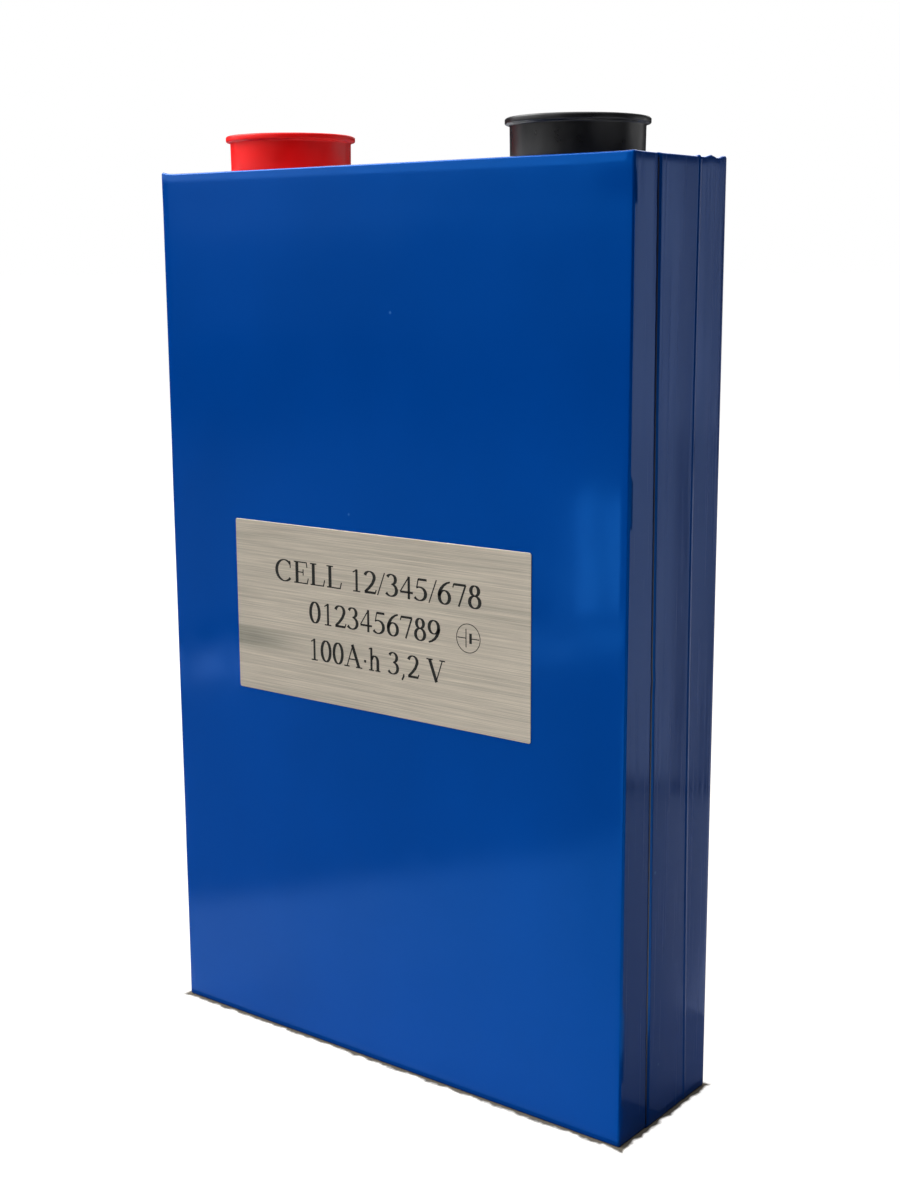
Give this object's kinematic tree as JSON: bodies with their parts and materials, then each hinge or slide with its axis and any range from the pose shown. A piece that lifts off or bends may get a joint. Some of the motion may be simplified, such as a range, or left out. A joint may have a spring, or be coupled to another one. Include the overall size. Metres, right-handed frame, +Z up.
{
  "type": "prismatic battery cell",
  "caption": "Film-wrapped prismatic battery cell with a metal rating label, a vented cover and two threaded terminals under push-on caps.",
  "frame": {"origin": "middle of the base, on the surface that the cell stands on", "axes": "+Z up to the terminals, -Y out of the wide face with the label, +X towards the negative terminal"},
  "size_m": [0.13, 0.0362, 0.2132],
  "materials": {
    "blue_film": "satin",
    "label_foil": "satin",
    "aluminium": "satin",
    "copper": "satin",
    "black_plastic": "satin",
    "black_cap": "satin",
    "red_cap": "satin",
    "seal_rubber": "matte",
    "clear_film": "gloss",
    "wound_foil": "matte",
    "green_tape": "satin"
  },
  "bodies": {
    "cell": {"insulation_film": "blue_film", "rating_label": "label_foil", "cell_can": "aluminium", "cover_plate": "aluminium", "vent_disc": "aluminium", "vent_cover_film": "clear_film", "vent_guard": "black_plastic", "fill_plug": "seal_rubber", "fill_seal_cap": "aluminium", "positive_pole": "aluminium", "positive_outer_insulator": "black_plastic", "positive_seal_ring": "seal_rubber", "positive_inner_insulator": "black_plastic", "positive_collector": "aluminium", "positive_tabs_front": "aluminium", "positive_tabs_rear": "aluminium", "negative_pole": "copper", "negative_outer_insulator": "black_plastic", "negative_seal_ring": "seal_rubber", "negative_inner_insulator": "black_plastic", "negative_collector": "copper", "negative_tabs_front": "copper", "negative_tabs_rear": "copper", "bottom_tray": "black_plastic", "core_bag": "clear_film", "jelly_roll_front": "wound_foil", "jelly_roll_rear": "wound_foil", "roll_end_tape_front": "green_tape", "roll_end_tape_rear": "green_tape", "bundle_tape_lower": "green_tape", "bundle_tape_upper": "green_tape"},
    "red_cap": {"positive_cap": "red_cap"},
    "black_cap": {"negative_cap": "black_cap"}
  },
  "joints": [
    {"name": "positive_cap_lift", "type": "slide", "parent": "cell", "child": "red_cap", "axis": [0, 0, 1], "range_m": [0, 0.04]},
    {"name": "negative_cap_lift", "type": "slide", "parent": "cell", "child": "black_cap", "axis": [0, 0, 1], "range_m": [0, 0.04]}
  ]
}
